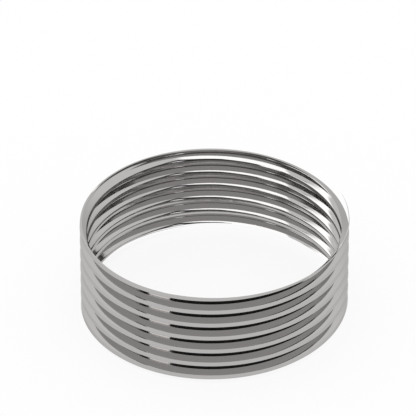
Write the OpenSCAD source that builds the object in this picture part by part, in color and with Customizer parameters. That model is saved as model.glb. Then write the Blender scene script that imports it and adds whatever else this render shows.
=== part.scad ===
/* [Head] */
// Diameter of the head below its dome
head_d = 21.2; // [20:0.1:24]
// How far the dome swells past the head, on the radius
dome_swell = 0.08; // [0:0.02:0.3]
// Radius of the dome's arc, seen in section
dome_arc_r = 3.5; // [3.3:0.1:4.2]
// Height of the dome arc's centre above the shoulder
dome_rise = 3.6; // [3:0.1:4.5]
// Height of the flat top land above the dome arc's centre
land_rise = 3.1; // [2.6:0.05:3.15]

/* [Barrel] */
// Outer diameter of the barrel under the shoulder
barrel_d = 18.8; // [18.2:0.1:20]
// Height of the barrel, from its foot to the shoulder
barrel_h = 5.8; // [4:0.1:10]

/* [Bore] */
// Diameter of the plain bore at the top
collar_d = 15.7; // [14:0.1:16.2]
// Height of the plain bore's lower edge above the shoulder
collar_rise = 2.4; // [1.5:0.1:4]
// Major diameter of the thread, to which its relief groove is cut
thread_d = 17; // [16.6:0.05:17.2]
// Pitch of the thread, which sets its minor diameter
thread_pitch = 1; // [0.5:0.05:1.5]
// Height of the relief groove's straight wall
groove_h = 1.25; // [0.6:0.05:1.4]
// How far the countersink at the foot opens past the thread, on the radius
foot_clear = 0.13; // [0:0.01:0.25]

/* [Spanner slots] */
// Width of each slot
slot_w = 2.9; // [1.5:0.1:4]
// Depth of a slot below the top land, measured on the axis
slot_depth = 4.4; // [2:0.1:5]
// Diameter of the saw that cut the slots, which curves their floor
saw_d = 100; // [60:5:160]
// Radius of the saw's worn corners, left along both sides of a slot's floor
saw_corner_r = 0.25; // [0.05:0.05:0.6]
// How far each saw cut passes to one side of the axis
slot_shift = 0.4; // [-0.8:0.05:0.8]

/* [Edges] */
// Size of the small bevels on the turned edges
edge_break = 0.12; // [0.05:0.01:0.2]

/* [Hidden] */
$fn = 180;
// Depth of the cut thread for a pitch of 1
thread_depth_ratio = 0.49;
// Radii of the turned form
head_r = head_d / 2;
barrel_r = barrel_d / 2;
collar_r = collar_d / 2;
groove_r = thread_d / 2;
minor_r = groove_r - thread_depth_ratio * thread_pitch;
foot_r = groove_r + foot_clear;
foot_depth = foot_r - minor_r;
// The dome's arc, by its centre in the section
dome_r = head_r + dome_swell - dome_arc_r;
dome_z = barrel_h + dome_rise;
top_z = dome_z + land_rise;
// The bore's edges, by height
collar_z = barrel_h + collar_rise;
groove_step = groove_r - collar_r;
groove_top = collar_z - groove_step / 2;
groove_low = groove_top - groove_h;
thread_top = groove_low - (groove_r - minor_r);
// The saw, by its radius, its half thickness and the height of its deepest cut
saw_r = saw_d / 2;
half_w = slot_w / 2;
slot_floor_z = top_z - slot_depth;
// The saw corner's arc, by the distance of its centre and the turn between its points
corner_c = saw_r - saw_corner_r;
saw_corner_step = 30;
// Clearance by which a cut runs past what it cuts
past = 1;
chrome = [0.80, 0.81, 0.83];

// Half section of the head: a straight wall, then one arc up to the land
module head_section() {
    polygon([
        [0, barrel_h],
        [head_r - edge_break, barrel_h],
        [head_r, barrel_h + edge_break],
        [head_r, dome_z],
        [0, dome_z]
    ]);
    intersection() {
        translate([dome_r, dome_z])
            circle(r = dome_arc_r);
        translate([dome_r, barrel_h + edge_break])
            square([dome_arc_r + past, top_z - barrel_h - edge_break]);
    }
    translate([0, barrel_h])
        square([dome_r, top_z - barrel_h]);
}

// Half section of the barrel, with its foot's outer edge broken
module barrel_section() {
    polygon([
        [0, 0],
        [barrel_r - edge_break, 0],
        [barrel_r, edge_break],
        [barrel_r, barrel_h + past],
        [0, barrel_h + past]
    ]);
}

// The outside as it left the lathe
module turned_blank() {
    rotate_extrude() {
        head_section();
        barrel_section();
    }
}

// The bore, from the foot: chamfer, thread, relief groove and plain collar
module bore_cut() {
    rotate_extrude()
        polygon([
            [0, -past],
            [foot_r + past, -past],
            [foot_r, 0],
            [minor_r, foot_depth],
            [minor_r, thread_top],
            [groove_r, groove_low],
            [groove_r, groove_top],
            [collar_r, collar_z],
            [collar_r, top_z - edge_break],
            [collar_r + edge_break, top_z],
            [collar_r + edge_break, top_z + past],
            [0, top_z + past]
        ]);
}

// The slitting saw: a thin disc whose corners are rounded by wear
module saw_blade() {
    rotate_extrude()
        polygon([
            [0, -half_w],
            for (a = [-90:saw_corner_step:0])
                [corner_c + saw_corner_r * cos(a), saw_corner_r - half_w + saw_corner_r * sin(a)],
            for (a = [0:saw_corner_step:90])
                [corner_c + saw_corner_r * cos(a), half_w - saw_corner_r + saw_corner_r * sin(a)],
            [0, half_w]
        ]);
}

// One pass of the saw along X, right across the head
module saw_pass() {
    translate([0, -slot_shift, slot_floor_z + saw_r])
        rotate([90, 0, 0])
            saw_blade();
}

module antenna_nut() {
    color(chrome)
        difference() {
            turned_blank();
            bore_cut();
            saw_pass();
            rotate([0, 0, 90])
                saw_pass();
        }
}

antenna_nut();
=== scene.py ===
"""A chromed antenna nut with sawn spanner slots and a fine thread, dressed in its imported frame."""

import logging
import math
from collections.abc import Callable, Iterator
from dataclasses import dataclass, field
from enum import Enum

import bmesh
import bpy
import numpy as np
from mathutils import Matrix, Vector


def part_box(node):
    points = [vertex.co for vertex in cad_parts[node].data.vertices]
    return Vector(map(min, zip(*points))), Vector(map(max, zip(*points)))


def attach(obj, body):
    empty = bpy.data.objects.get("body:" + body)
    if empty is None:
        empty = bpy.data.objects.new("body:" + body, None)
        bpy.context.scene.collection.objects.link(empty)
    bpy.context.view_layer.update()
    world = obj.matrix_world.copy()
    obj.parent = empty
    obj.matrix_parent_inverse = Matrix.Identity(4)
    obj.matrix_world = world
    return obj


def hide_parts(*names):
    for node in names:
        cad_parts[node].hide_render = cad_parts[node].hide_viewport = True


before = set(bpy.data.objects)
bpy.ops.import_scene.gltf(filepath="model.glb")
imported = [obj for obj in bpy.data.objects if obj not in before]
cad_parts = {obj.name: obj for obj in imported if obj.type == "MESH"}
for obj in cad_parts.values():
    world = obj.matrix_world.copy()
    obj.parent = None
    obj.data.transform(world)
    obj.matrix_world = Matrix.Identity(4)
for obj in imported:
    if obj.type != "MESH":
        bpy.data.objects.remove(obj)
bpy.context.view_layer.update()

LOG = logging.getLogger("antenna_nut")
NODE = "antenna_nut"
BODY = "root"

MM = 0.001
MERGE = 0.0005 * MM
FULL_TURN = 2 * math.pi


class Zone(Enum):
    """The finishes of the nut, in the order of its material slots."""

    PLATED = 0
    SAWN = 1
    # one torn wall: its rough grain is real, its lighter colour is painted light
    TORN = 2
    BORE = 3
    COLLAR = 4
    # painted highlight: brighter chrome on the slots' rims and two back corners
    RUBBED = 5
    # painted shade: darker chrome in the front-left slot and a front-right corner
    STAINED = 6


class Shade:
    """Builds a node tree one node at a time."""

    def __init__(self, tree: bpy.types.NodeTree) -> None:
        """Empties the tree and keeps it.

        Args:
            tree: The tree of a material or of the world.
        """
        self.tree = tree
        self.tree.nodes.clear()

    def add(self, kind: str, **settings: object) -> bpy.types.Node:
        """Adds a node.

        Args:
            kind: The node's type without its ShaderNode prefix.
            settings: Properties by name, and unlinked inputs by their name in capitals.

        Returns:
            The new node.
        """
        node = self.tree.nodes.new("ShaderNode" + kind)
        for name, value in settings.items():
            if name.isupper():
                node.inputs[name.replace("_", " ").title()].default_value = value
            else:
                setattr(node, name, value)
        return node

    def link(self, start: bpy.types.NodeSocket, end: bpy.types.NodeSocket) -> None:
        """Links an output socket to an input socket."""
        self.tree.links.new(start, end)

    def object_place(self, scale: tuple[float, float, float]) -> bpy.types.NodeSocket:
        """Gives Object coordinates, scaled along each axis.

        Args:
            scale: Pattern units for each metre along X, Y and Z.

        Returns:
            The vector socket of the scaled place.
        """
        place = self.add("TexCoord")
        mapping = self.add("Mapping")
        mapping.inputs["Scale"].default_value = scale
        self.link(place.outputs["Object"], mapping.inputs["Vector"])
        return mapping.outputs["Vector"]

    def noise(self, vector: bpy.types.NodeSocket, detail: float, size: float = 1.0) -> bpy.types.NodeSocket:
        """Adds a noise pattern.

        Args:
            vector: The place that it reads.
            detail: Its octaves.
            size: Its scale in pattern units.

        Returns:
            The pattern's value socket.
        """
        noise = self.add("TexNoise", SCALE=size, DETAIL=detail)
        self.link(vector, noise.inputs["Vector"])
        return noise.outputs["Fac"]

    def spread(self, value: bpy.types.NodeSocket, low: float, high: float,
               to_low: float, to_high: float) -> bpy.types.NodeSocket:
        """Maps a value's range onto another, clamped.

        Args:
            value: The value socket.
            low: Start of the range that is read.
            high: End of the range that is read.
            to_low: What the start becomes.
            to_high: What the end becomes.

        Returns:
            The mapped value socket.
        """
        ramp = self.add("MapRange")
        ramp.inputs["From Min"].default_value = low
        ramp.inputs["From Max"].default_value = high
        ramp.inputs["To Min"].default_value = to_low
        ramp.inputs["To Max"].default_value = to_high
        self.link(value, ramp.inputs["Value"])
        return ramp.outputs["Result"]

    def bump(self, height: bpy.types.NodeSocket, distance: float,
             under: bpy.types.NodeSocket | None = None) -> bpy.types.NodeSocket:
        """Adds a bump on top of another one.

        Args:
            height: The height socket, from 0 to 1.
            distance: The height of 1, in metres.
            under: The normal socket of the bump below it, if any.

        Returns:
            The normal socket.
        """
        bump = self.add("Bump", DISTANCE=distance)
        self.link(height, bump.inputs["Height"])
        if under is not None:
            self.link(under, bump.inputs["Normal"])
        return bump.outputs["Normal"]


@dataclass(frozen=True)
class ChromeFinish:
    """Bright chrome plate over turned metal.

    Attributes:
        name: The material's name.
        colour: Reflectance seen face on, linear.
        edge_tint: Reflectance seen at a grazing angle.
        roughness: Lowest and highest roughness over the surface.
        swell: Height of the broad unevenness that polishing leaves, in metres.
        ripple: Height of the finer unevenness, in metres.
        grain: Height of the fine grain, in metres.
        pits: Depth of the scattered pits, in metres.
    """

    name: str
    colour: tuple[float, float, float, float]
    edge_tint: tuple[float, float, float, float]
    roughness: tuple[float, float]
    swell: float
    ripple: float
    grain: float
    pits: float

    def relief(self, shade: Shade) -> bpy.types.NodeSocket:
        """Adds the surface's relief, here the plate's own."""
        return self.plate_relief(shade, None)

    def plate_relief(self, shade: Shade, under: bpy.types.NodeSocket | None) -> bpy.types.NodeSocket:
        """Adds the unevenness of the plate.

        Args:
            shade: The material's nodes.
            under: The normal socket of the metal below, if it isn't the face's own.

        Returns:
            The normal socket.
        """
        normal = shade.bump(shade.noise(shade.object_place((420, 420, 420)), 1.0), self.swell, under)
        normal = shade.bump(shade.noise(shade.object_place((1900, 1900, 1900)), 2.0), self.ripple, normal)
        normal = shade.bump(shade.noise(shade.object_place((9000, 9000, 9000)), 2.0), self.grain, normal)
        spots = shade.spread(shade.noise(shade.object_place((1100, 1100, 1100)), 0.5), 0.25, 0.31, 0, 1)
        return shade.bump(spots, self.pits, normal)

    def paint(self, shade: Shade, metal: bpy.types.Node) -> None:
        """Gives the metal its colour.

        Args:
            shade: The material's nodes.
            metal: The metal's shader.
        """
        metal.inputs["Base Color"].default_value = self.colour

    def roughen(self, shade: Shade) -> bpy.types.NodeSocket:
        """Varies the roughness in faint patches.

        Args:
            shade: The material's nodes.

        Returns:
            The roughness socket.
        """
        patches = shade.noise(shade.object_place((1500, 1500, 1500)), 3.0)
        return shade.spread(patches, 0.35, 0.7, *self.roughness)

    def material(self) -> bpy.types.Material:
        """Makes the material.

        Returns:
            The new material.
        """
        material = bpy.data.materials.new(self.name)
        material.use_nodes = True
        shade = Shade(material.node_tree)
        output = shade.add("OutputMaterial")
        metal = shade.add("BsdfPrincipled", METALLIC=1.0)
        metal.inputs["Specular Tint"].default_value = self.edge_tint
        self.paint(shade, metal)
        shade.link(self.roughen(shade), metal.inputs["Roughness"])
        shade.link(self.relief(shade), metal.inputs["Normal"])
        shade.link(metal.outputs["BSDF"], output.inputs["Surface"])
        return material


@dataclass(frozen=True)
class SawnFinish(ChromeFinish):
    """Chrome plate over the marks that the saw's teeth left.

    Attributes:
        saw_centre: Height of the saw's centre, round which its marks run, in metres.
        marks: Height of the saw's marks, in metres.
        tears: Depth of the torn spots low on the walls, in metres.
    """

    saw_centre: float = 58.1 * MM
    marks: float = 0.004 * MM
    tears: float = 0.0

    def relief(self, shade: Shade) -> bpy.types.NodeSocket:
        """Adds the saw's marks, which run along circles round the saw's centre.

        Args:
            shade: The material's nodes.

        Returns:
            The normal socket.
        """
        place = shade.add("TexCoord")
        from_saw = shade.add("VectorMath", operation="SUBTRACT")
        from_saw.inputs[1].default_value = (0, 0, self.saw_centre)
        shade.link(place.outputs["Object"], from_saw.inputs[0])
        reach = shade.add("VectorMath", operation="LENGTH")
        shade.link(from_saw.outputs[0], reach.inputs[0])
        axes = shade.add("SeparateXYZ")
        shade.link(place.outputs["Object"], axes.inputs[0])
        polar = shade.add("CombineXYZ")
        shade.link(axes.outputs["X"], polar.inputs["X"])
        shade.link(axes.outputs["Y"], polar.inputs["Y"])
        shade.link(reach.outputs["Value"], polar.inputs["Z"])
        stretch = shade.add("Mapping")
        stretch.inputs["Scale"].default_value = (450, 450, 7500)
        shade.link(polar.outputs[0], stretch.inputs["Vector"])
        coarse = shade.spread(shade.noise(stretch.outputs[0], 3.0), 0.3, 0.7, 0, 1)
        torn = shade.spread(shade.noise(shade.object_place((900, 900, 1500)), 2.0), 0.46, 0.60, 0, 1)
        above = shade.spread(axes.outputs["Z"], 9.25 * MM, 9.35 * MM, 0, 1)
        below = shade.spread(axes.outputs["Z"], 10.1 * MM, 11.1 * MM, 1, 0)
        for part in (above, below):
            product = shade.add("Math", operation="MULTIPLY")
            shade.link(torn, product.inputs[0])
            shade.link(part, product.inputs[1])
            torn = product.outputs[0]
        return self.plate_relief(shade, shade.bump(torn, self.tears, shade.bump(coarse, self.marks)))


@dataclass(frozen=True)
class ShadePaintedFinish(SawnFinish):
    """Sawn metal with painted shade: a darker colour over the slot, darkest low in it, where its grazing sheen is
    also taken away.

    Attributes:
        shade_top: Heights between which the painted shade fades out, in metres.
        shade_tone: Reflectance of the painted shade.
        shade_roughness: Roughness of the painted shade.
    """

    shade_top: tuple[float, float] = (9.55 * MM, 9.85 * MM)
    shade_tone: float = 0.045
    shade_roughness: float = 0.55

    def by_painted_shade(self, shade: Shade, in_shade: float, above_shade: float) -> bpy.types.NodeSocket:
        """Gives one number low in the slot, in the painted shade, and another one above it.

        Args:
            shade: The material's nodes.
            in_shade: The number low in the slot, in the painted shade.
            above_shade: The number above the painted shade.

        Returns:
            The number's socket.
        """
        place = shade.add("TexCoord")
        axes = shade.add("SeparateXYZ")
        shade.link(place.outputs["Object"], axes.inputs[0])
        return shade.spread(axes.outputs["Z"], *self.shade_top, in_shade, above_shade)

    def paint(self, shade: Shade, metal: bpy.types.Node) -> None:
        """Darkens the metal's colour towards the slot's floor as painted shade, and takes its grazing sheen away
        there.

        Args:
            shade: The material's nodes.
            metal: The metal's shader.
        """
        shade.link(self.by_painted_shade(shade, self.shade_tone, self.colour[0]), metal.inputs["Base Color"])
        shade.link(self.by_painted_shade(shade, 0, self.edge_tint[0]), metal.inputs["Specular Tint"])

    def roughen(self, shade: Shade) -> bpy.types.NodeSocket:
        """Makes the painted shade dull.

        Args:
            shade: The material's nodes.

        Returns:
            The roughness socket.
        """
        return self.by_painted_shade(shade, self.shade_roughness, self.roughness[0])


@dataclass(frozen=True)
class BoredFinish(ChromeFinish):
    """Chrome plate over the marks that the boring tool's feed left.

    Attributes:
        side: Direction of the faces whose feed marks lean most.
        lean: Least and greatest lean of the feed marks downwards, as slopes.
    """

    side: tuple[float, float, float] = (-0.5075, -0.8616, 0)
    lean: tuple[float, float] = (0.025, 0.13)

    def relief(self, shade: Shade) -> bpy.types.NodeSocket:
        """Leans the face by the slope of its feed marks.

        Args:
            shade: The material's nodes.

        Returns:
            The normal socket.
        """
        place = shade.add("TexCoord")
        facing = shade.add("VectorMath", operation="DOT_PRODUCT")
        facing.inputs[1].default_value = self.side
        shade.link(place.outputs["Normal"], facing.inputs[0])
        lean = shade.add("CombineXYZ")
        least, greatest = self.lean
        shade.link(shade.spread(facing.outputs["Value"], 0.94, 0.997, -least, -greatest), lean.inputs["Z"])
        leaned = shade.add("VectorMath", operation="ADD")
        shade.link(place.outputs["Normal"], leaned.inputs[0])
        shade.link(lean.outputs[0], leaned.inputs[1])
        level = shade.add("VectorMath", operation="NORMALIZE")
        shade.link(leaned.outputs[0], level.inputs[0])
        turned = shade.add("VectorTransform", vector_type="NORMAL", convert_from="OBJECT", convert_to="WORLD")
        shade.link(level.outputs[0], turned.inputs[0])
        return self.plate_relief(shade, turned.outputs[0])


FINISHES = {
    Zone.PLATED: ChromeFinish(
        name="plated_outside",
        colour=(0.530, 0.532, 0.540, 1),
        edge_tint=(0.88, 0.88, 0.89, 1),
        roughness=(0.03, 0.07),
        swell=0.0009 * MM,
        ripple=0.003 * MM,
        grain=0.00002 * MM,
        pits=0.0006 * MM,
    ),
    Zone.SAWN: SawnFinish(
        name="sawn_faces",
        colour=(0.520, 0.522, 0.528, 1),
        edge_tint=(0.88, 0.88, 0.89, 1),
        roughness=(0.04, 0.10),
        swell=0.003 * MM,
        ripple=0.0008 * MM,
        grain=0.0001 * MM,
        pits=0.001 * MM,
        marks=0.0022 * MM,
        tears=0.03 * MM,
    ),
    # painted shade: darker chrome over the slot, darkest low in it
    Zone.STAINED: ShadePaintedFinish(
        name="shade_painted_slot",
        colour=(0.27, 0.27, 0.275, 1),
        edge_tint=(0.60, 0.60, 0.60, 1),
        roughness=(0.10, 0.20),
        swell=0.004 * MM,
        ripple=0.002 * MM,
        grain=0.0006 * MM,
        pits=0.003 * MM,
        marks=0.016 * MM,
        tears=0.06 * MM,
    ),
    # painted highlight: brighter chrome than the plate, for bright lines on rims and corners
    Zone.RUBBED: ChromeFinish(
        name="highlight_painted_rims",
        colour=(0.86, 0.86, 0.865, 1),
        edge_tint=(0.90, 0.90, 0.90, 1),
        roughness=(0.28, 0.36),
        swell=0.002 * MM,
        ripple=0.001 * MM,
        grain=0.0004 * MM,
        pits=0.001 * MM,
    ),
    # torn metal on one wall: rough grain, and a lighter colour that is painted light
    Zone.TORN: SawnFinish(
        name="torn_and_lit_face",
        colour=(0.62, 0.62, 0.625, 1),
        edge_tint=(0.80, 0.80, 0.80, 1),
        roughness=(0.20, 0.34),
        swell=0.002 * MM,
        ripple=0.003 * MM,
        grain=0.002 * MM,
        pits=0.004 * MM,
        marks=0.001 * MM,
    ),
    Zone.COLLAR: BoredFinish(
        name="bored_collar",
        colour=(0.462, 0.453, 0.449, 1),
        edge_tint=(0.72, 0.71, 0.70, 1),
        roughness=(0.07, 0.10),
        swell=0.0006 * MM,
        ripple=0.0001 * MM,
        grain=0.00005 * MM,
        pits=0.0008 * MM,
    ),
    Zone.BORE: ChromeFinish(
        name="threaded_bore",
        colour=(0.462, 0.453, 0.449, 1),
        edge_tint=(0.72, 0.71, 0.70, 1),
        roughness=(0.05, 0.10),
        swell=0.0006 * MM,
        ripple=0.0001 * MM,
        grain=0.00005 * MM,
        pits=0.0008 * MM,
    ),
}


class Bench:
    """The mesh operators, used on one object in edit mode as by hand."""

    def __init__(self, obj: bpy.types.Object) -> None:
        """Keeps the object and makes it the only selected and active one.

        Args:
            obj: The mesh object to work on.
        """
        self.obj = obj
        self.take()

    def take(self) -> None:
        """Selects the object alone and makes it active, in object mode."""
        if bpy.context.mode != "OBJECT":
            bpy.ops.object.mode_set(mode="OBJECT")
        bpy.ops.object.select_all(action="DESELECT")
        self.obj.select_set(True)
        bpy.context.view_layer.objects.active = self.obj

    def edit(self, mode: str = "VERT") -> None:
        """Enters edit mode with nothing selected.

        Args:
            mode: What is selected there: VERT, EDGE or FACE.
        """
        self.take()
        bpy.ops.object.mode_set(mode="EDIT")
        bpy.ops.mesh.select_mode(type=mode)
        bpy.ops.mesh.select_all(action="DESELECT")

    def done(self) -> None:
        """Goes back to object mode."""
        bpy.ops.object.mode_set(mode="OBJECT")

    def pick_edges(self, test: Callable[[bmesh.types.BMEdge], bool]) -> int:
        """Selects the edges that pass a test.

        Args:
            test: Says whether an edge is wanted.

        Returns:
            How many were selected.
        """
        bpy.ops.mesh.select_mode(type="EDGE")
        bpy.ops.mesh.select_all(action="DESELECT")
        mesh = bmesh.from_edit_mesh(self.obj.data)
        found = [edge for edge in mesh.edges if test(edge)]
        for edge in found:
            edge.select_set(True)
        mesh.select_flush_mode()
        bmesh.update_edit_mesh(self.obj.data)
        return len(found)

    def pick_faces(self, test: Callable[[bmesh.types.BMFace], bool]) -> int:
        """Selects the faces that pass a test.

        Args:
            test: Says whether a face is wanted.

        Returns:
            How many were selected.
        """
        bpy.ops.mesh.select_mode(type="FACE")
        bpy.ops.mesh.select_all(action="DESELECT")
        mesh = bmesh.from_edit_mesh(self.obj.data)
        found = [face for face in mesh.faces if test(face)]
        for face in found:
            face.select_set(True)
        mesh.select_flush_mode()
        bmesh.update_edit_mesh(self.obj.data)
        return len(found)

    def places(self) -> np.ndarray:
        """Gives the vertices' places, in object mode, one row each."""
        values = np.empty(len(self.obj.data.vertices) * 3)
        self.obj.data.vertices.foreach_get("co", values)
        return values.reshape(-1, 3)

    def put(self, places: np.ndarray) -> None:
        """Moves the vertices, in object mode, to the rows of places."""
        self.obj.data.vertices.foreach_set("co", places.ravel())
        self.obj.data.update()

    def apply(self, kind: str, **settings: object) -> None:
        """Adds a modifier and applies it.

        Args:
            kind: The modifier's type.
            settings: Its properties by name.
        """
        self.take()
        modifier = self.obj.modifiers.new(kind.title(), kind)
        for name, value in settings.items():
            setattr(modifier, name, value)
        bpy.ops.object.modifier_apply(modifier=modifier.name)


@dataclass
class TurnedForm:
    """The nut's section, in metres, as the lathe leaves it.

    Attributes:
        height: Overall height, from the frame.
        head_r: Radius of the head under its dome.
        dome_swell: How far the dome swells past the head.
        dome_arc_r: Radius of the dome's arc.
        dome_z: Height of the arc's centre.
        barrel_r: Radius of the barrel.
        barrel_h: Height of the shoulder.
        collar_r: Radius of the plain bore at the top.
        collar_z: Height of its lower edge.
        thread_r: Major radius of the thread.
        thread_depth: Depth of the thread.
        groove_h: Height of the relief groove's wall.
        foot_clear: How far the countersink opens past the thread.
        land_r: Radius at which the land begins to curve down into the dome.
        dome_top_r: Radius at which that curve joins the dome's arc.
        lip: Height and depth of the burr on the collar's lower edge.
        rim_round: Size of the rounding where the land meets the bore.
        edge: Size of the rounding on the other turned edges.
        steps: Columns of faces round the nut.
    """

    height: float = field(default_factory=lambda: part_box(NODE)[1].z)
    head_r: float = 10.6 * MM
    dome_swell: float = 0.08 * MM
    dome_arc_r: float = 3.5 * MM
    dome_z: float = 9.4 * MM
    barrel_r: float = 9.4 * MM
    barrel_h: float = 5.8 * MM
    collar_r: float = 7.85 * MM
    collar_z: float = 8.2 * MM
    thread_r: float = 8.5 * MM
    thread_depth: float = 0.49 * MM
    groove_h: float = 1.25 * MM
    foot_clear: float = 0.13 * MM
    land_r: float = 8.50 * MM
    dome_top_r: float = 9.05 * MM
    lip: tuple[float, float] = (0.06 * MM, 0.03 * MM)
    rim_round: float = 0.27 * MM
    edge: float = 0.10 * MM
    steps: int = 360

    @property
    def dome_r(self) -> float:
        """Distance of the dome arc's centre from the axis."""
        return self.head_r + self.dome_swell - self.dome_arc_r

    @property
    def pilot_r(self) -> float:
        """Radius of the hole before it is tapped."""
        return self.thread_r - self.thread_depth - 0.35 * MM

    @property
    def foot_r(self) -> float:
        """Radius of the countersink at the foot."""
        return self.thread_r + self.foot_clear

    @property
    def groove_top(self) -> float:
        """Height of the upper end of the relief groove's wall."""
        return self.collar_z - (self.thread_r - self.collar_r) / 2

    @property
    def groove_low(self) -> float:
        """Height of the lower end of the relief groove's wall."""
        return self.groove_top - self.groove_h

    @property
    def corners(self) -> tuple[tuple[float, float, float], ...]:
        """Radius, height and rounding of the section's corners."""
        low = math.sqrt(self.dome_arc_r ** 2 - (self.head_r - self.dome_r) ** 2)
        return (
            (self.foot_r, 0, self.edge),
            (self.barrel_r, 0, self.edge),
            (self.barrel_r, self.barrel_h, self.edge),
            (self.head_r, self.barrel_h, self.edge),
            (self.head_r, self.dome_z - low, self.edge / 2),
            (self.collar_r, self.height, self.rim_round),
            (self.thread_r, self.groove_top, self.edge / 2),
            (self.thread_r, self.groove_low, self.edge),
        )

    @property
    def warp_low(self) -> float:
        """Height on the head below which the columns of faces stay evenly spaced."""
        return self.barrel_h + 1.4 * MM

    def dome_points(self, floor_z: float) -> Iterator[tuple[float, float]]:
        """Walks up the dome's arc, with a point where the slots' floors come out.

        Args:
            floor_z: Height of the slots' floors at the outside.

        Yields:
            Radius and height of each point.
        """
        low = -math.acos((self.head_r - self.dome_r) / self.dome_arc_r)
        mid = math.asin((floor_z - self.dome_z) / self.dome_arc_r)
        high = math.acos((self.dome_top_r - self.dome_r) / self.dome_arc_r)
        turns = [*np.linspace(low, mid, 6)[:-1], *np.linspace(mid, high, 30)]
        for turn in turns:
            yield self.dome_r + self.dome_arc_r * math.cos(turn), self.dome_z + self.dome_arc_r * math.sin(turn)
        joint_z = self.dome_z + self.dome_arc_r * math.sin(high)
        corner_r = self.dome_top_r - (self.height - joint_z) * math.tan(high)
        for share in np.linspace(0, 1, 9)[1:]:
            left, middle, right = (1 - share) ** 2, 2 * share * (1 - share), share ** 2
            radius = left * self.dome_top_r + middle * corner_r + right * self.land_r
            yield radius, left * joint_z + (1 - left) * self.height

    def section(self, floor_in: float, floor_out: float) -> list[tuple[float, float]]:
        """Lists the closed section, from the foot's bore, up the outside and down the bore.

        Args:
            floor_in: Height of the slots' floors at the bore.
            floor_out: Height of the slots' floors at the outside.

        Returns:
            Radius and height of each point.
        """
        return [
            (self.foot_r, 0),
            (self.barrel_r, 0),
            (self.barrel_r, self.barrel_h / 2),
            (self.barrel_r, self.barrel_h),
            (self.head_r, self.barrel_h),
            (self.head_r, self.warp_low),
            *self.dome_points(floor_out),
            (self.collar_r, self.height),
            (self.collar_r, (self.height + floor_in) / 2),
            (self.collar_r, floor_in),
            (self.collar_r, self.collar_z + 1.6 * self.lip[0]),
            (self.collar_r - self.lip[1], self.collar_z + 0.6 * self.lip[0]),
            (self.collar_r - self.lip[1], self.collar_z + 0.1 * self.lip[0]),
            (self.collar_r, self.collar_z - 0.3 * self.lip[0]),
            (self.thread_r, self.groove_top),
            (self.thread_r, self.groove_low),
            (self.pilot_r, self.groove_low - (self.thread_r - self.pilot_r)),
            (self.pilot_r, self.foot_r - self.pilot_r),
        ]


@dataclass
class SawnSlots:
    """The two passes of a slitting saw, along X and along Y.

    Attributes:
        width: Width of a slot.
        shift: How far each cut passes to one side of the axis.
        saw_r: Radius of the saw, which curves the floors.
        lowest: Height of a floor's arc on the axis.
        corner_r: Radius along both sides of a floor.
        rim: Size of the rounding where a slot meets the turned faces.
        wide: Columns of faces from a slot's middle to its far and to its near wall.
        corner_columns: Columns across each rounded side of a floor.
        fade_columns: Columns of the crown over which the rings of faces settle back to level.
        rows: Cuts along a floor, from the bore to the outside.
    """

    width: float = 2.9 * MM
    shift: float = 0.4 * MM
    saw_r: float = 50.0 * MM
    lowest: float = 8.1 * MM
    corner_r: float = 0.25 * MM
    rim: float = 0.07 * MM
    wide: tuple[int, int] = (12, 7)
    corner_columns: int = 5
    fade_columns: int = 16
    rows: int = 10

    @property
    def reach(self) -> tuple[float, float]:
        """Distances of a slot's far and near wall from the axis."""
        return self.width / 2 + self.shift, self.width / 2 - self.shift

    def arc(self, along: np.ndarray) -> np.ndarray:
        """Gives the height of the saw's arc at distances from the axis along a slot."""
        return self.lowest + self.saw_r - np.sqrt(self.saw_r ** 2 - along ** 2)

    def offsets(self) -> np.ndarray:
        """Gives each column's distance from a slot's clockwise wall."""
        turns = np.linspace(0, math.pi / 2, self.corner_columns + 1)
        corner = self.corner_r * (1 - np.cos(turns))
        flat = sum(self.wide) - 2 * self.corner_columns
        middle = np.linspace(self.corner_r, self.width - self.corner_r, flat + 1)
        return np.concatenate([corner[:-1], middle, self.width - corner[-2::-1]])

    def rise(self, offset: np.ndarray) -> np.ndarray:
        """Gives how far the floor rises into its rounded side.

        Args:
            offset: Distances from the clockwise wall.

        Returns:
            The heights above the saw's arc.
        """
        depth = np.clip(self.corner_r - np.minimum(offset, self.width - offset), 0, self.corner_r)
        return self.corner_r - np.sqrt(self.corner_r ** 2 - depth ** 2)

    def place_in_slot(self, place: Vector) -> tuple[float, float] | None:
        """Finds a place between the walls of a slot.

        Args:
            place: A point on the crown.

        Returns:
            Its distance from the nearer wall and the floor's height there, or None outside the slots.
        """
        far, near = self.reach
        for along, low, high in ((place.x, place.y + far, near - place.y), (place.y, place.x + near, far - place.x)):
            gap = min(low, high)
            if gap > -MERGE:
                return gap, float(self.arc(np.array(along)) + self.rise(np.array(max(gap, 0))))
        return None


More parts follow.
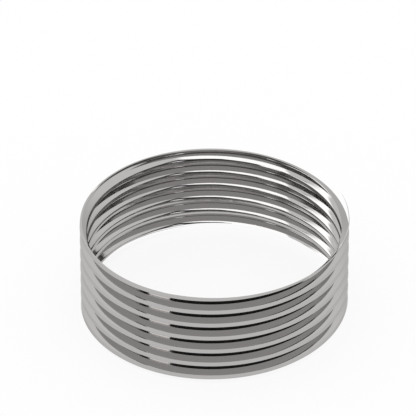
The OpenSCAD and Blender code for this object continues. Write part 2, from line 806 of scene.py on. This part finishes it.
@dataclass
class FineThread:
    """The tap's form, whose crests lie where the photo's turns do.

    Attributes:
        pitch: Distance between turns.
        crest_r: Minor radius, at the nut's crests.
        root_r: Major radius, at its roots.
        crest: A crest's face and its worn upper edge, as steps of lean from upright, in degrees, and length.
        flank: Angle between an upper flank and the plane of its turn, in degrees.
        under: The same angle for a lower flank.
        start_turn: Turn of the helix's start round the axis.
        start_z: Height of a crest's middle there, below the foot.
        turns: Turns of the tap.
        steps: Faces in a turn.
        top: Height of the tap's end, inside the relief groove.
        bottom: Height of its start, below the foot.
    """

    pitch: float = 1.0 * MM
    crest_r: float = 8.01 * MM
    root_r: float = 8.495 * MM
    crest: tuple[tuple[float, float], ...] = (
        (14, 0.10 * MM),
        (14, 0.10 * MM),
        (30, 0.014 * MM),
        (44, 0.014 * MM),
        (53, 0.040 * MM),
        (54.5, 0.040 * MM),
        (56, 0.040 * MM),
        (57, 0.030 * MM),
    )
    flank: float = 33.0
    under: float = 26.0
    start_turn: float = math.radians(59.5)
    start_z: float = -2.487 * MM
    turns: int = 9
    steps: int = 180
    top: float = 7.80 * MM
    bottom: float = -3.0 * MM

    @property
    def foot_of_crest(self) -> float:
        """Height of a crest's lower edge below its middle."""
        return -0.15 * MM

    def section(self) -> list[tuple[float, float]]:
        """Lists one pitch of the section, from a crest's lower edge up to the next, as radius and height."""
        radius, height = self.crest_r, self.foot_of_crest
        points = [(radius, height)]
        for lean, length in self.crest:
            radius += length * math.sin(math.radians(lean))
            height += length * math.cos(math.radians(lean))
            points.append((radius, height))
        run = math.tan(math.radians(self.flank))
        for share in (0.3, 0.6, 0.92):
            depth = (self.root_r - radius) * share
            points.append((radius + depth, height + run * depth))
        top = self.foot_of_crest + self.pitch
        under = math.tan(math.radians(self.under))
        span = self.root_r - self.crest_r
        points.append((self.root_r, points[-1][1] + 0.03 * MM))
        points.append((self.root_r - 0.03 * MM, top - under * (span - 0.03 * MM)))
        points.append((self.crest_r + 0.03 * MM, top - under * 0.03 * MM))
        points.append((self.crest_r, top))
        return points

    def tap(self) -> bpy.types.Object:
        """Makes the tap as a closed solid.

        Returns:
            The tap.
        """
        points = self.section()
        bpy.ops.mesh.primitive_circle_add(vertices=len(points), radius=MM)
        bench = Bench(bpy.context.object)
        bench.obj.name = "tap"
        turn = self.start_turn
        places = [(r * math.cos(turn), r * math.sin(turn), z + self.start_z) for r, z in points]
        bench.put(np.array(places))
        bench.edit()
        bench.pick_edges(lambda edge: abs(edge.calc_length() - self.pitch) < MERGE)
        bpy.ops.mesh.delete(type="EDGE")
        bench.done()
        bench.apply(
            "SCREW",
            axis="Z",
            screw_offset=self.pitch,
            iterations=self.turns,
            steps=self.steps,
            render_steps=self.steps,
            use_merge_vertices=False,
        )
        bench.edit()
        bpy.ops.mesh.select_all(action="SELECT")
        bpy.ops.mesh.remove_doubles(threshold=MERGE)
        first = self.start_z + self.foot_of_crest
        self.close_end(bench, first, self.bottom)
        self.close_end(bench, first + self.turns * self.pitch, self.top)
        bpy.ops.mesh.select_all(action="SELECT")
        bpy.ops.mesh.normals_make_consistent(inside=False)
        bench.done()
        return bench.obj

    def close_end(self, bench: Bench, level: float, end: float) -> None:
        """Closes one end of the tap: first the ridge's own end, then the hole, drawn out flat.

        Args:
            bench: The tap on its bench, in edit mode.
            level: Height at which the ridge's end begins.
            end: Height of the flat end.
        """
        middle = level + self.pitch / 2
        side = Vector((-math.sin(self.start_turn), math.cos(self.start_turn), 0))
        bench.pick_edges(
            lambda edge: edge.is_boundary
            and abs(edge.verts[0].co.z - middle) < self.pitch
            and all(abs(vert.co.dot(side)) < MERGE for vert in edge.verts)
        )
        bpy.ops.mesh.edge_face_add()
        bench.pick_edges(lambda edge: edge.is_boundary and abs(edge.verts[0].co.z - middle) < self.pitch)
        bpy.ops.mesh.extrude_edges_move()
        bpy.ops.transform.resize(value=(1, 1, 0), center_override=(0, 0, end))
        bpy.ops.mesh.edge_face_add()
        bpy.ops.mesh.select_all(action="SELECT")
        bpy.ops.mesh.remove_doubles(threshold=MERGE)


class AntennaNut:
    """The nut, turned, sawn and tapped from one piece."""

    def __init__(self, form: TurnedForm, slots: SawnSlots, thread: FineThread) -> None:
        """Keeps the sizes.

        Args:
            form: The turned section.
            slots: The saw's cuts.
            thread: The thread in the bore.
        """
        self.form = form
        self.slots = slots
        self.thread = thread
        self.floor_in = float(slots.arc(np.array(form.collar_r)))
        self.floor_out = float(slots.arc(np.array(form.head_r)))

    def build(self) -> bpy.types.Object:
        """Makes the nut in the order of its real making.

        Returns:
            The finished piece, riding on its body.
        """
        bench = self.turn()
        self.follow_slots(bench)
        self.saw(bench)
        self.cut_thread(bench)
        self.smooth(bench)
        self.dress(bench)
        return bench.obj

    def turn(self) -> Bench:
        """Spins the section into the blank and rounds its turned edges.

        Returns:
            The blank on its bench.
        """
        points = self.form.section(self.floor_in, self.floor_out)
        bpy.ops.mesh.primitive_circle_add(vertices=len(points), radius=MM)
        bench = Bench(bpy.context.object)
        bench.obj.name = "chromed_nut"
        for zone in Zone:
            bench.obj.data.materials.append(FINISHES[zone].material())
        bench.put(np.array([(radius, 0, height) for radius, height in points]))
        bench.edit()
        bpy.ops.mesh.select_all(action="SELECT")
        bpy.ops.mesh.spin(steps=self.form.steps, angle=FULL_TURN, center=(0, 0, 0), axis=(0, 0, 1))
        bpy.ops.mesh.select_all(action="SELECT")
        bpy.ops.mesh.remove_doubles(threshold=MERGE)
        bpy.ops.mesh.normals_make_consistent(inside=False)
        for radius, height, size in self.form.corners:
            bench.pick_edges(lambda edge: self.is_on_ring(edge, radius, height))
            bpy.ops.mesh.bevel(offset=size, segments=4, clamp_overlap=True)
        bench.done()
        LOG.info("turned: %d corners rounded, %d faces", len(self.form.corners), len(bench.obj.data.polygons))
        return bench

    def is_on_ring(self, edge: bmesh.types.BMEdge, radius: float, height: float) -> bool:
        """Says whether an edge lies on the ring at a radius and a height."""
        return all(
            abs(vert.co.z - height) < MERGE and abs(vert.co.xy.length - radius) < MERGE for vert in edge.verts
        )

    def follow_slots(self, bench: Bench) -> None:
        """Slides the blank's vertices over its turned faces so that rows and columns follow the saw.

        Args:
            bench: The blank on its bench.
        """
        places = bench.places()
        radius = np.hypot(places[:, 0], places[:, 1])
        turn = np.degrees(np.arctan2(places[:, 1], places[:, 0]))
        column = np.round(turn * self.form.steps / 360).astype(int)
        quarter = np.round(column / 90).astype(int) % 4
        local = (column - 90 * quarter + 180) % 360 - 180
        far, near = self.slots.reach
        first = quarter < 2
        before = np.where(first, self.slots.wide[0], self.slots.wide[1])
        after = np.where(first, self.slots.wide[1], self.slots.wide[0])
        inside = (local >= -before) & (local <= after)
        offset = self.slots.offsets()[np.clip(local + before, 0, sum(self.slots.wide))]
        across = offset - np.where(first, far, near)
        gap = np.where(inside, 0, np.minimum(np.abs(local + before), np.abs(local - after)))
        fade = np.clip(1 - gap / self.slots.fade_columns, 0, 1) ** 2
        radius, height = self.raise_rings(radius, places[:, 2], across, offset, fade)
        angle = np.where(inside, np.degrees(np.arcsin(across / radius)), 0)
        angle = np.where(inside, angle, self.crown_angle(local, quarter, radius))
        low, high = self.form.warp_low, self.floor_in - 0.05 * MM
        weight = np.clip((height - low) / (high - low), 0, 1)
        angle = np.radians(90 * quarter + weight * angle + (1 - weight) * local)
        bench.put(np.stack([radius * np.cos(angle), radius * np.sin(angle), height], 1))

    def crown_angle(self, local: np.ndarray, quarter: np.ndarray, radius: np.ndarray) -> np.ndarray:
        """Spaces the columns between one slot's wall and the next one's evenly.

        Args:
            local: Columns counted from the nearest slot's middle.
            quarter: That slot's number round the nut.
            radius: Radii of the vertices.

        Returns:
            Their angles from the slot's middle, in degrees.
        """
        far, near = self.slots.reach
        wide, narrow = self.slots.wide
        later = local > 0
        start_quarter = np.where(later, quarter, (quarter + 3) % 4)
        end_quarter = (start_quarter + 1) % 4
        base = np.where(later, 0, -90)
        start_column = base + np.where(start_quarter < 2, narrow, wide)
        end_column = base + 90 - np.where(end_quarter < 2, wide, narrow)
        start = base + np.degrees(np.arcsin(np.where(start_quarter < 2, near, far) / radius))
        end = base + 90 - np.degrees(np.arcsin(np.where(end_quarter < 2, far, near) / radius))
        return start + (end - start) * (local - start_column) / (end_column - start_column)

    def raise_rings(self, radius: np.ndarray, height: np.ndarray, across: np.ndarray,
                    offset: np.ndarray, fade: np.ndarray) -> tuple[np.ndarray, np.ndarray]:
        """Brings the rings of vertices at the floors' ends onto the saw's arc.

        Args:
            radius: Radii of the vertices.
            height: Their heights.
            across: Their distances from a slot's middle line.
            offset: Their distances from its clockwise wall.
            fade: 1 in a slot, falling to 0 along the crown.

        Returns:
            The new radii and heights, on the same turned faces.
        """
        form = self.form
        lift = self.slots.rise(offset)
        start = self.floor_out + 0 * height
        for _ in range(4):
            at = form.dome_r + np.sqrt(form.dome_arc_r ** 2 - (start - form.dome_z) ** 2)
            floor = self.slots.arc(np.sqrt(at ** 2 - across ** 2)) + lift
            start = self.floor_out + fade * (floor - self.floor_out)
        low = math.asin((self.floor_out - form.dome_z) / form.dome_arc_r)
        high = math.asin((form.height - form.dome_z) / form.dome_arc_r)
        out = radius - form.dome_r
        rise = height - form.dome_z
        arc = np.arctan2(rise, out)
        reach = np.hypot(rise, out)
        new_low = np.arcsin((start - form.dome_z) / form.dome_arc_r)
        moved = new_low + (arc - low) * (high - new_low) / (high - low)
        dome = (abs(reach - form.dome_arc_r) < 0.1 * MM) & (arc > low - 1e-5) & (arc < high) & (out > 0)
        new_radius = np.where(dome, form.dome_r + reach * np.cos(moved), radius)
        new_height = np.where(dome, form.dome_z + reach * np.sin(moved), height)
        floor = self.slots.arc(np.sqrt(form.collar_r ** 2 - across ** 2)) + lift
        start = self.floor_in + fade * (floor - self.floor_in)
        top = form.height - form.rim_round
        bore = (radius < form.collar_r + MERGE) & (height > self.floor_in - MERGE) & (height < top)
        moved = start + (height - self.floor_in) * (top - start) / (top - self.floor_in)
        return new_radius, np.where(bore, moved, new_height)

    def saw(self, bench: Bench) -> None:
        """Opens the slots, lays their floors, closes their walls and rounds their rims.

        Args:
            bench: The blank on its bench.
        """
        bench.edit("FACE")
        count = bench.pick_faces(self.is_sawn_away)
        bpy.ops.mesh.delete(type="FACE")
        for quarter in range(4):
            middle = Vector((math.cos(quarter * math.pi / 2), math.sin(quarter * math.pi / 2), 0))
            bench.pick_edges(lambda edge: self.is_floor_end(edge) and edge.verts[0].co.dot(middle) > 5 * MM)
            bpy.ops.mesh.bridge_edge_loops(number_cuts=self.slots.rows, interpolation="LINEAR")
        bench.done()
        self.curve_floors(bench)
        bench.edit("EDGE")
        bench.pick_edges(lambda edge: edge.is_boundary)
        bpy.ops.mesh.fill_holes(sides=0)
        bpy.ops.mesh.select_all(action="SELECT")
        bpy.ops.mesh.normals_make_consistent(inside=False)
        rims = bench.pick_edges(self.is_rim)
        # the rims' rounding takes the painted-highlight finish
        bpy.ops.mesh.bevel(offset=self.slots.rim, segments=3, clamp_overlap=False, material=Zone.RUBBED.value)
        bench.done()
        LOG.info("sawn: %d faces cut away, %d edges of rims rounded", count, rims)

    def is_sawn_away(self, face: bmesh.types.BMFace) -> bool:
        """Says whether the saw takes a face of the blank away."""
        centre = face.calc_center_median()
        found = self.slots.place_in_slot(centre) if centre.z > self.floor_in - 0.3 * MM else None
        return found is not None and found[0] > MERGE and centre.z > found[1]

    def is_floor_end(self, edge: bmesh.types.BMEdge) -> bool:
        """Says whether an open edge runs across a slot's floor."""
        if not edge.is_boundary:
            return False
        found = [self.slots.place_in_slot(vert.co) for vert in edge.verts]
        if None in found or abs(found[0][0] - found[1][0]) < MERGE and found[0][0] < MERGE:
            return False
        return all(abs(vert.co.z - place[1]) < 2 * MERGE for vert, place in zip(edge.verts, found))

    def curve_floors(self, bench: Bench) -> None:
        """Sets the vertices inside the floors on the saw's arc."""
        places = bench.places()
        radius = np.hypot(places[:, 0], places[:, 1])
        inner = (radius > self.form.collar_r + MERGE) & (places[:, 2] > self.floor_in - 0.1 * MM)
        for row in np.flatnonzero(inner & (places[:, 2] < self.floor_out + 0.5 * MM)):
            found = self.slots.place_in_slot(Vector(places[row]))
            if found is not None and radius[row] < self.form.head_r - 0.05 * MM:
                places[row, 2] = found[1]
        bench.put(places)

    def is_on_slot(self, face: bmesh.types.BMFace) -> bool:
        """Says whether a face is a slot's wall or floor."""
        centre = face.calc_center_median()
        if centre.z < self.floor_in - 0.1 * MM:
            return False
        found = self.slots.place_in_slot(centre)
        if found is None:
            return False
        level = abs(face.normal.z) < 0.01
        flat = max(abs(face.normal.x), abs(face.normal.y)) > 0.9999
        return level and flat and found[0] < MERGE or centre.z < found[1] + 0.05 * MM and face.normal.z > 0.1

    def is_rim(self, edge: bmesh.types.BMEdge) -> bool:
        """Says whether an edge parts a slot from a turned face."""
        if edge.verts[0].co.z < self.floor_in - 0.1 * MM or len(edge.link_faces) != 2:
            return False
        one, other = (self.is_on_slot(face) for face in edge.link_faces)
        return one != other

    def cut_thread(self, bench: Bench) -> None:
        """Cuts the thread with the tap.

        Args:
            bench: The nut on its bench.
        """
        tap = self.thread.tap()
        bench.apply("BOOLEAN", object=tap, operation="DIFFERENCE", solver="EXACT")
        bpy.data.objects.remove(tap)
        LOG.info("tapped: %d faces", len(bench.obj.data.polygons))

    def smooth(self, bench: Bench) -> None:
        """Merges doubles, turns the faces outwards and gives them their shading.

        Args:
            bench: The nut on its bench.
        """
        bench.edit()
        bpy.ops.mesh.select_all(action="SELECT")
        bpy.ops.mesh.remove_doubles(threshold=MERGE)
        bpy.ops.mesh.normals_make_consistent(inside=False)
        bench.done()
        bpy.ops.object.shade_smooth_by_angle(angle=math.radians(34))
        bench.apply("WEIGHTED_NORMAL", mode="FACE_AREA", weight=50, keep_sharp=True)

    def dress(self, bench: Bench) -> None:
        """Gives the nut its finishes and its place in the frame.

        Args:
            bench: The nut on its bench.
        """
        nut = bench.obj
        counts = dict.fromkeys(Zone, 0)
        for face in nut.data.polygons:
            # faces of the rims' rounding keep their painted highlight
            zone = Zone.RUBBED if face.material_index == Zone.RUBBED.value else self.zone_of(face)
            face.material_index = zone.value
            counts[zone] += 1
        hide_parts(NODE)
        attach(nut, BODY)
        LOG.info("dressed %s: %s", nut.name, {zone.name: count for zone, count in counts.items()})

    def is_shade_painted(self, face: bpy.types.MeshPolygon) -> bool:
        """Says whether a face gets painted shade: in the front-left slot or in the front-right slot's corner."""
        if face.center.x < -self.slots.width:
            return face.normal.y < 0.1
        return face.center.y < -self.slots.width and -0.95 < face.normal.x < -0.3

    def is_highlight_painted(self, face: bpy.types.MeshPolygon) -> bool:
        """Says whether a face lies in the corner of one of the two back slots that gets a painted highlight."""
        if face.center.y > self.slots.width:
            return -0.95 < face.normal.x < -0.1
        return face.center.x > self.slots.width and -0.95 < face.normal.y < -0.6

    def zone_of(self, face: bpy.types.MeshPolygon) -> Zone:
        """Finds the finish of a face by its place and the way that it looks."""
        centre = face.center
        radius = centre.xy.length
        if centre.z > self.floor_in - 0.1 * MM:
            found = self.slots.place_in_slot(centre)
            wall = max(abs(face.normal.x), abs(face.normal.y)) > 0.999
            if found is not None and (wall or face.normal.z > 0.1) and centre.z < self.form.height - MERGE:
                # painted shade in the front-left slot and a front-right corner
                if self.is_shade_painted(face):
                    return Zone.STAINED
                # painted highlight in a corner of each back slot
                if self.is_highlight_painted(face):
                    return Zone.RUBBED
                # the torn wall gets painted light in its lighter colour
                return Zone.TORN if face.normal.x < -0.9 and centre.y < 0 else Zone.SAWN
        inward = face.normal.x * centre.x + face.normal.y * centre.y < 0
        low_bore = centre.z < self.form.collar_z and radius < self.form.foot_r
        if low_bore and abs(face.normal.z) < 0.999:
            return Zone.BORE
        if inward and radius < self.form.collar_r + 0.05 * MM:
            return Zone.COLLAR
        return Zone.PLATED


@dataclass(frozen=True)
class Card:
    """A sheet of card or a lamp's white face, seen in the chrome from the nut's middle.

    Attributes:
        name: Its name.
        distance: Its distance from the nut.
        rows: Its outline as elevation, left end and right end in degrees, from the camera's side.
        light: Its radiance.
        soft: Widths of its soft left, right, lower and upper edge, in degrees.
        lights_floor: Whether its light falls on the floor.
    """

    name: str
    distance: float
    rows: tuple[tuple[float, float, float], ...]
    light: float
    soft: tuple[float, float, float, float] = (0.4, 0.4, 0.4, 0.4)
    lights_floor: bool = False


@dataclass
class Studio:
    """The pale table, the cards round it, and the camera.

    Attributes:
        camera_place: Where the camera stands.
        camera_target: The point that it looks at.
        lens: Its focal length for a sensor 36 wide.
        camera_side: The camera's turn round the nut, in degrees.
        walls: Radiance of the room.
        floor_tone: Reflectance of the table.
        floor_show: How much of the table's plain white shows to the camera and in the chrome.
        sheet_r: Radius of the white sheet under the nut.
        eye: Height from which the cards' elevations are counted.
    """

    camera_place: Vector = field(default_factory=lambda: Vector((-130.2, -220.2, 187.5)) * MM)
    camera_target: Vector = field(default_factory=lambda: Vector((-0.348, 0.205, 7.42)) * MM)
    lens: float = 431.04
    camera_side: float = -120.5
    walls: float = 1.05
    floor_tone: float = 0.85
    floor_show: float = 0.86
    sheet_r: float = 58 * MM
    eye: float = 10 * MM
    cards: tuple[Card, ...] = (
        Card("dark_room", 0.80, ((-16, -46, 80), (12, -45, 80), (15, -42, 80), (22, -38, 80), (33, -38, 79),
                                 (38, -44, 79), (47, -58, 78), (64, -58, 76), (73, -50, 70)), 0.04, (0.4, 5, 0.4, 1)),
        Card("dark_corner", 0.79, ((-16, 71, 92), (24, 71, 89)), 0.04, (2, 4, 0.4, 11)),
        Card("white_strip", 0.78, ((-16, -58, -38), (10, -57, -38), (33, -56, -38.5), (43, -53, -49)), 2.6),
        Card("grey_band", 0.82, ((-16, -70, -55), (20, -68, -52), (38, -68, -45), (48, -64, -50)), 0.06,
             (4, 0.4, 0.4, 3)),
        Card("grey_wall", 0.84, ((-16, 84, 178), (38, 84, 178)), 0.82, (12, 30, 22, 22)),
        Card("bright_wall", 0.84, ((18, -118, -70), (48, -118, -62)), 1.7, (14, 6, 14, 0.6)),
        Card("thin_rail", 0.83, ((48, -112, -60), (50, -108, -56)), 0.25, (6, 1, 0.5, 0.5)),
        Card("far_edge", 0.83, ((0.3, -178, -136), (3.6, -178, -136)), 1.9, (10, 16, 1, 1)),
        Card("left_lamp", 0.76, ((22, -126, -98), (50, -126, -98)), 2.3, (3, 12, 8, 8)),
        Card("left_box", 0.74, ((50, -66, -46), (52.5, -84, -42), (56, -92, -36), (62, -97, -24),
                                (68, -104, -10), (74, -125, -2)), 2.2, (3, 2, 1, 0)),
        Card("small_lamp_low", 0.70, ((37, 30, 38), (48, 30, 39)), 2.6, (1, 1, 1, 1)),
        Card("small_lamp_high", 0.70, ((50, 41, 54), (62, 41, 56)), 2.6, (1, 1, 1, 1)),
        Card("overhead", 0.75, ((69.5, -180, 180), (90, -180, 180)), 2.2, (0, 0, 4, 0), True),
    )

    def direction(self, turn: float, elevation: float) -> Vector:
        """Gives the direction of a turn from the camera's side and an elevation, in degrees."""
        turn, elevation = math.radians(turn + self.camera_side), math.radians(elevation)
        flat = math.cos(elevation)
        return Vector((flat * math.cos(turn), flat * math.sin(turn), math.sin(elevation)))

    def ease(self, gap: float, soft: float) -> float:
        """Gives a card's cover at a gap from an edge of some softness, from 0 to 1."""
        share = min(gap / soft, 1.0) if soft > 0 else 1.0
        return share * share * (3 - 2 * share)

    def set_camera(self) -> None:
        """Stands the camera where the photo was taken from."""
        bpy.ops.object.camera_add(location=self.camera_place)
        camera = bpy.context.object
        camera.name = "photo_camera"
        camera.rotation_euler = (self.camera_target - self.camera_place).to_track_quat("-Z", "Y").to_euler()
        camera.data.lens = self.lens
        camera.data.sensor_width = 36
        camera.data.clip_start = 0.01
        bpy.context.scene.camera = camera
        LOG.info("camera: lens %.1f", self.lens)

    def floor_material(self) -> bpy.types.Material:
        """Makes the table's pale finish, which shows as plain white and keeps the nut's shadow."""
        material = bpy.data.materials.new("pale_table")
        material.use_nodes = True
        shade = Shade(material.node_tree)
        output = shade.add("OutputMaterial")
        matt = shade.add("BsdfDiffuse")
        matt.inputs["Color"].default_value = (self.floor_tone,) * 3 + (1,)
        plain = shade.add("Emission")
        mix = shade.add("MixShader")
        path = shade.add("LightPath")
        seen = shade.add("Math", operation="MAXIMUM")
        shade.link(path.outputs["Is Camera Ray"], seen.inputs[0])
        shade.link(path.outputs["Is Glossy Ray"], seen.inputs[1])
        through = shade.add("Math", operation="MAXIMUM")
        shade.link(seen.outputs[0], through.inputs[0])
        shade.link(path.outputs["Is Transmission Ray"], through.inputs[1])
        share = shade.add("Math", operation="MULTIPLY")
        share.inputs[1].default_value = self.floor_show
        shade.link(through.outputs[0], share.inputs[0])
        shade.link(share.outputs[0], mix.inputs["Fac"])
        shade.link(matt.outputs[0], mix.inputs[1])
        shade.link(plain.outputs[0], mix.inputs[2])
        shade.link(mix.outputs[0], output.inputs["Surface"])
        return material

    def lay_table(self) -> None:
        """Lays the table and the white sheet on it."""
        finish = self.floor_material()
        bpy.ops.mesh.primitive_plane_add(size=4, location=(0, 0, -0.05 * MM))
        table = bpy.context.object
        table.name = "table"
        table.visible_glossy = False
        bpy.ops.mesh.primitive_circle_add(vertices=128, radius=self.sheet_r, fill_type="NGON", location=(0, 0, 0))
        sheet = bpy.context.object
        sheet.name = "white_sheet"
        for piece in (table, sheet):
            piece.data.materials.append(finish)
        LOG.info("table and sheet laid")

    def card_material(self, card: Card) -> bpy.types.Material:
        """Makes a card's plain light, with a soft lower edge if it has one.

        Args:
            card: The card.

        Returns:
            Its material.
        """
        material = bpy.data.materials.new(card.name)
        material.use_nodes = True
        shade = Shade(material.node_tree)
        output = shade.add("OutputMaterial")
        light = shade.add("Emission", STRENGTH=card.light)
        clear = shade.add("BsdfTransparent")
        cover = shade.add("Attribute", attribute_name="cover")
        mix = shade.add("MixShader")
        shade.link(cover.outputs["Fac"], mix.inputs["Fac"])
        shade.link(clear.outputs[0], mix.inputs[1])
        shade.link(light.outputs[0], mix.inputs[2])
        shade.link(mix.outputs[0], output.inputs["Surface"])
        return material

    def hang_card(self, card: Card) -> None:
        """Bends a sheet round the nut between the card's edges.

        Args:
            card: The card.
        """
        bpy.ops.mesh.primitive_grid_add(x_subdivisions=96, y_subdivisions=64, size=1)
        bench = Bench(bpy.context.object)
        bench.obj.name = card.name
        grid = bench.places()
        heights = [row[0] for row in card.rows]
        places = []
        covers = []
        for across, up, _ in grid:
            elevation = heights[0] + (up + 0.5) * (heights[-1] - heights[0])
            left = np.interp(elevation, heights, [row[1] for row in card.rows])
            right = np.interp(elevation, heights, [row[2] for row in card.rows])
            turn = left + (across + 0.5) * (right - left)
            gaps = (turn - left, right - turn, elevation - heights[0], heights[-1] - elevation)
            covers.append(math.prod(self.ease(gap, soft) for gap, soft in zip(gaps, card.soft)))
            places.append(self.direction(turn, elevation) * card.distance + Vector((0, 0, self.eye)))
        bench.put(np.array(places))
        bench.obj.data.attributes.new("cover", "FLOAT", "POINT").data.foreach_set("value", covers)
        bench.obj.data.materials.append(self.card_material(card))
        bench.obj.visible_camera = False
        bench.obj.visible_shadow = False
        bench.obj.visible_diffuse = card.lights_floor

    def light_room(self) -> None:
        """Gives the room its even light and, to the camera, a plain white."""
        world = bpy.data.worlds.new("room")
        world.use_nodes = True
        bpy.context.scene.world = world
        shade = Shade(world.node_tree)
        output = shade.add("OutputWorld")
        room = shade.add("Background", STRENGTH=self.walls)
        room.inputs["Color"].default_value = (1, 1, 1, 1)
        white = shade.add("Background", STRENGTH=1.0)
        white.inputs["Color"].default_value = (1, 1, 1, 1)
        path = shade.add("LightPath")
        mix = shade.add("MixShader")
        shade.link(path.outputs["Is Camera Ray"], mix.inputs["Fac"])
        shade.link(room.outputs[0], mix.inputs[1])
        shade.link(white.outputs[0], mix.inputs[2])
        shade.link(mix.outputs[0], output.inputs["Surface"])

    def set_up(self) -> None:
        """Sets up camera, table, cards and room."""
        self.set_camera()
        self.lay_table()
        for card in self.cards:
            self.hang_card(card)
        self.light_room()
        bpy.context.scene.view_settings.view_transform = "Standard"
        LOG.info("%d cards hung", len(self.cards))


def main() -> None:
    """Builds the nut, then the studio round it."""
    logging.basicConfig(level=logging.INFO, format="%(name)s: %(message)s")
    if bpy.context.mode != "OBJECT":
        bpy.ops.object.mode_set(mode="OBJECT")
    bpy.ops.object.select_all(action="DESELECT")
    AntennaNut(TurnedForm(), SawnSlots(), FineThread()).build()
    Studio().set_up()


if __name__ == "__main__":
    main()
